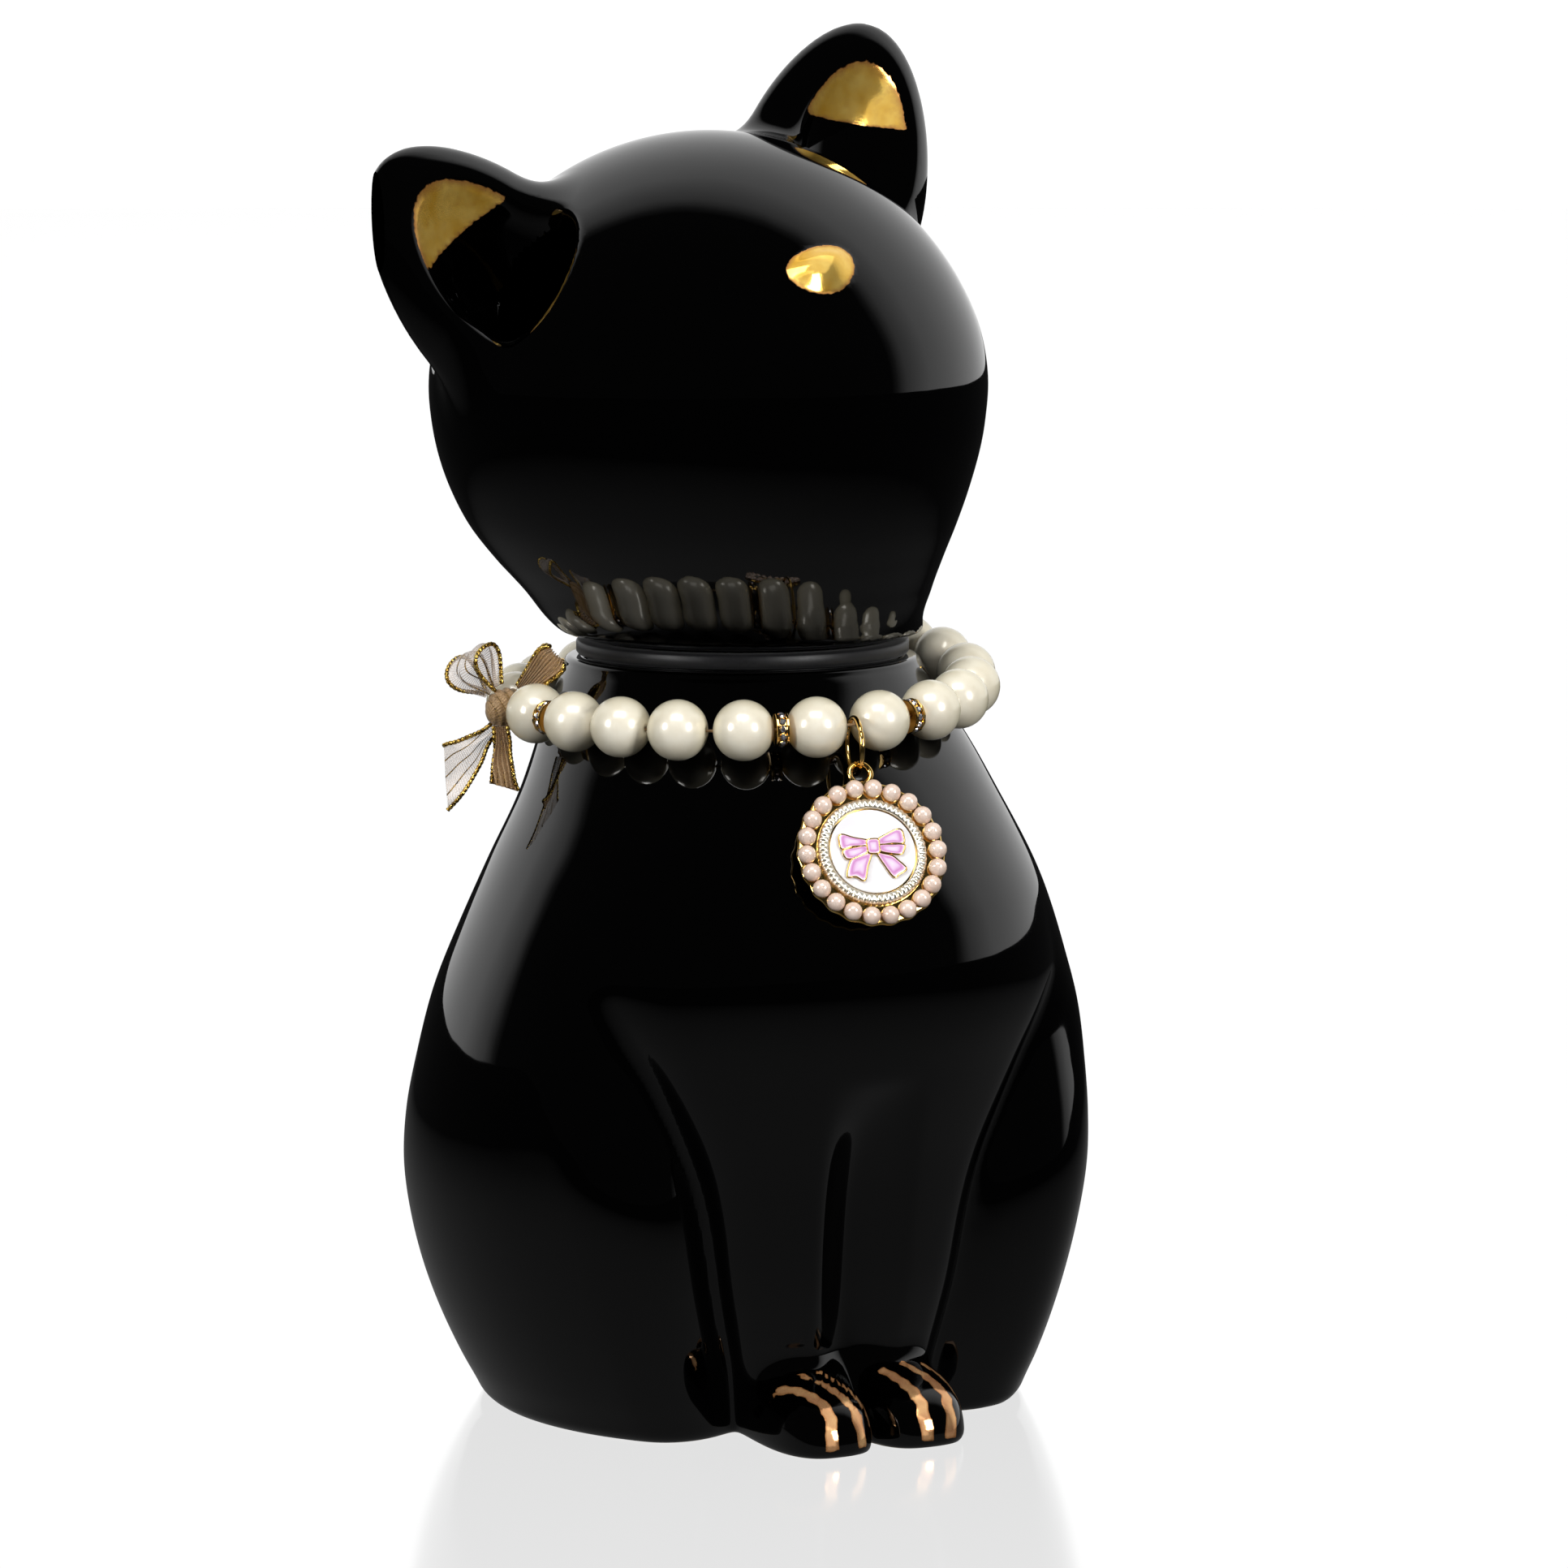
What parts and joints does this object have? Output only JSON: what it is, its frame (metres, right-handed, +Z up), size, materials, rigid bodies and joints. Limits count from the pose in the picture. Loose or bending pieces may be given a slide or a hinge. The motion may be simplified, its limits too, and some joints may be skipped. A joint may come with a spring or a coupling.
{
  "type": "seated cat jar",
  "caption": "Seated cat jar in black glazed ceramic: a lift-off tilted head with gold ears, nose and toes, a pearl collar with a round charm, and a ribbon bow.",
  "frame": {"origin": "on the flat base, on the axis of the neck", "axes": "+Z up, the cat faces -Y, and its own right side is -X"},
  "size_m": [0.1251, 0.1175, 0.228],
  "materials": {
    "black_glaze": "high-gloss black glaze, with fired gold lustre in the ears, on the nose and in three stripes on each paw",
    "silicone": "matt black silicone",
    "pearl": "pearl lacquer over a moulded bead",
    "gold_metal": "polished gold plating",
    "thread": "stretch thread",
    "white_enamel": "soft enamel, glossy",
    "lilac_enamel": "soft enamel, glossy",
    "ribbon": "sheer organza with metallic gold edges"
  },
  "bodies": {
    "jar": {"jar_body": "black_glaze"},
    "seal": {"seal_ring": "silicone"},
    "head": {"head_lid": "black_glaze"},
    "collar": {"pearl_01": "pearl", "pearl_02": "pearl", "pearl_03": "pearl", "pearl_04": "pearl", "pearl_05": "pearl", "pearl_06": "pearl", "pearl_07": "pearl", "pearl_08": "pearl", "pearl_09": "pearl", "pearl_10": "pearl", "pearl_11": "pearl", "pearl_12": "pearl", "pearl_13": "pearl", "pearl_14": "pearl", "pearl_15": "pearl", "pearl_16": "pearl", "pearl_17": "pearl", "pearl_18": "pearl", "pearl_19": "pearl", "pearl_20": "pearl", "pearl_21": "pearl", "pearl_22": "pearl", "rondelle_1": "gold_metal", "rondelle_2": "gold_metal", "rondelle_3": "gold_metal", "rondelle_4": "gold_metal", "rondelle_5": "gold_metal", "rondelle_6": "gold_metal", "elastic_thread": "thread", "ribbon_knot": "ribbon", "ribbon_loop_front": "ribbon", "ribbon_loop_back": "ribbon", "ribbon_tail_front": "ribbon", "ribbon_tail_back": "ribbon"},
    "ring": {"jump_ring": "gold_metal"},
    "charm": {"charm_setting": "gold_metal", "charm_half_pearls": "pearl", "charm_enamel": "white_enamel", "charm_bow": "lilac_enamel"}
  },
  "joints": [
    {"name": "head_lift", "type": "slide", "parent": "jar", "child": "seal", "axis": [0, 0, 1], "range_m": [0, 0.03]},
    {"name": "head_turn", "type": "hinge", "parent": "seal", "child": "head", "pos_m": [0, 0, 0.127], "axis": [0, 0, 1], "continuous": true},
    {"name": "collar_turn", "type": "hinge", "parent": "jar", "child": "collar", "pos_m": [0, 0, 0.118], "axis": [0, 0, 1], "range_deg": [-5, 5]},
    {"name": "ring_swing", "type": "hinge", "parent": "collar", "child": "ring", "pos_m": [-0.0004, -0.04204, 0.11662], "axis": [0.9848, -0.1736, 0], "range_deg": [-45, 0]},
    {"name": "charm_swing", "type": "hinge", "parent": "ring", "child": "charm", "pos_m": [-0.00118, -0.04644, 0.11012], "axis": [0.9848, -0.1736, 0], "range_deg": [-30, 0]}
  ]
}
